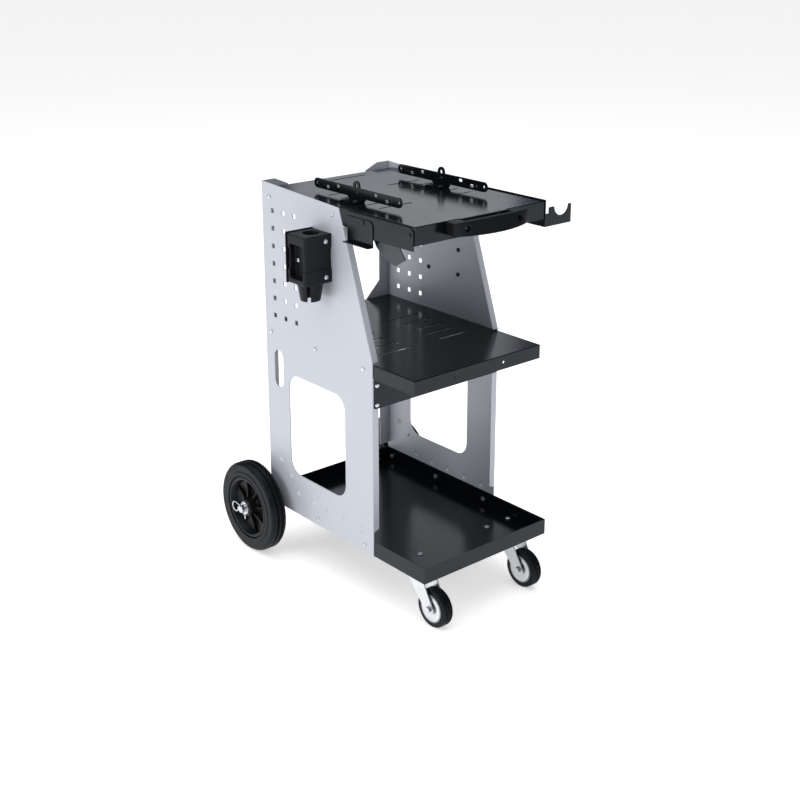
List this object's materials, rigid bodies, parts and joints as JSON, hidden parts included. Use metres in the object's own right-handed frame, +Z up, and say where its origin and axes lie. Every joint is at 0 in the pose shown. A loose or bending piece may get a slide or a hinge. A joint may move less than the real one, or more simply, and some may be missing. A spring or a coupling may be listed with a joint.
{
  "type": "welding trolley",
  "caption": "Sheet-metal welding trolley with open shelves above a floor tray, folded side panels, ribbed rear wheels and swivel castors in front.",
  "frame": {"origin": "on the floor, at the middle of the overall length and width", "axes": "+Z up, the front with its pull handle faces -Y, +X to the trolley's own left-to-right as seen from the front"},
  "size_m": [0.481, 0.647, 0.8485],
  "materials": {
    "panel_silver": "smooth silver-grey powder coat",
    "black_gloss": "glossy black powder coat",
    "black_screw": "black-plated steel",
    "zinc": "bright zinc plate",
    "axle_steel": "zinc-plated steel",
    "black_plastic": "fine-textured black plastic",
    "rim_plastic": "black moulded plastic",
    "core_plastic": "grey moulded plastic",
    "rubber_tyre": "dull black rubber"
  },
  "bodies": {
    "frame": {"left_side_panel": "panel_silver", "right_side_panel": "panel_silver", "top_shelf": "black_gloss", "middle_shelf": "black_gloss", "cross_apron": "black_gloss", "bottom_tray": "black_gloss", "right_hook_bracket": "black_gloss", "left_cable_plate": "black_gloss", "left_cable_hook": "black_gloss", "left_rack_bar": "black_gloss", "right_rack_bar": "black_gloss", "left_axle_bracket": "black_gloss", "right_axle_bracket": "black_gloss", "front_handle": "black_plastic", "torch_holder": "black_plastic", "torch_holder_plate": "black_plastic", "bracket_screws": "black_screw", "handle_screws": "black_screw", "rack_bolts": "black_screw", "accessory_screws": "black_screw", "panel_screws": "zinc", "apron_screws": "zinc", "torch_holder_screws": "zinc", "axle_bracket_bolts": "zinc", "castor_bolts": "zinc", "axle_washers": "zinc", "axle_spacers": "zinc", "left_spring_clip": "zinc", "right_spring_clip": "zinc", "rear_axle": "axle_steel", "left_castor_plate": "zinc", "left_castor_king_pin": "zinc", "right_castor_plate": "zinc", "right_castor_king_pin": "zinc"},
    "left_wheel": {"left_wheel_tyre": "rubber_tyre", "left_wheel_rim": "rim_plastic", "left_wheel_bush": "zinc"},
    "left_castor": {"left_castor_fork": "zinc", "left_castor_axle_bolt": "zinc"},
    "left_castor_wheel": {"left_castor_tyre": "rubber_tyre", "left_castor_wheel_core": "core_plastic", "left_castor_discs": "zinc"},
    "right_wheel": {"right_wheel_tyre": "rubber_tyre", "right_wheel_rim": "rim_plastic", "right_wheel_bush": "zinc"},
    "right_castor": {"right_castor_fork": "zinc", "right_castor_axle_bolt": "zinc"},
    "right_castor_wheel": {"right_castor_tyre": "rubber_tyre", "right_castor_wheel_core": "core_plastic", "right_castor_discs": "zinc"}
  },
  "joints": [
    {"name": "left_wheel_spin", "type": "hinge", "parent": "frame", "child": "left_wheel", "pos_m": [-0.2045, 0.2235, 0.1], "axis": [1, 0, 0], "continuous": true},
    {"name": "left_castor_swivel", "type": "hinge", "parent": "frame", "child": "left_castor", "pos_m": [-0.124, -0.2425, 0.095], "axis": [0, 0, 1], "continuous": true},
    {"name": "left_castor_wheel_spin", "type": "hinge", "parent": "left_castor", "child": "left_castor_wheel", "pos_m": [-0.124, -0.2835, 0.04], "axis": [1, 0, 0], "continuous": true},
    {"name": "right_wheel_spin", "type": "hinge", "parent": "frame", "child": "right_wheel", "pos_m": [0.2045, 0.2235, 0.1], "axis": [1, 0, 0], "continuous": true},
    {"name": "right_castor_swivel", "type": "hinge", "parent": "frame", "child": "right_castor", "pos_m": [0.124, -0.2425, 0.095], "axis": [0, 0, 1], "continuous": true},
    {"name": "right_castor_wheel_spin", "type": "hinge", "parent": "right_castor", "child": "right_castor_wheel", "pos_m": [0.124, -0.2835, 0.04], "axis": [1, 0, 0], "continuous": true}
  ]
}
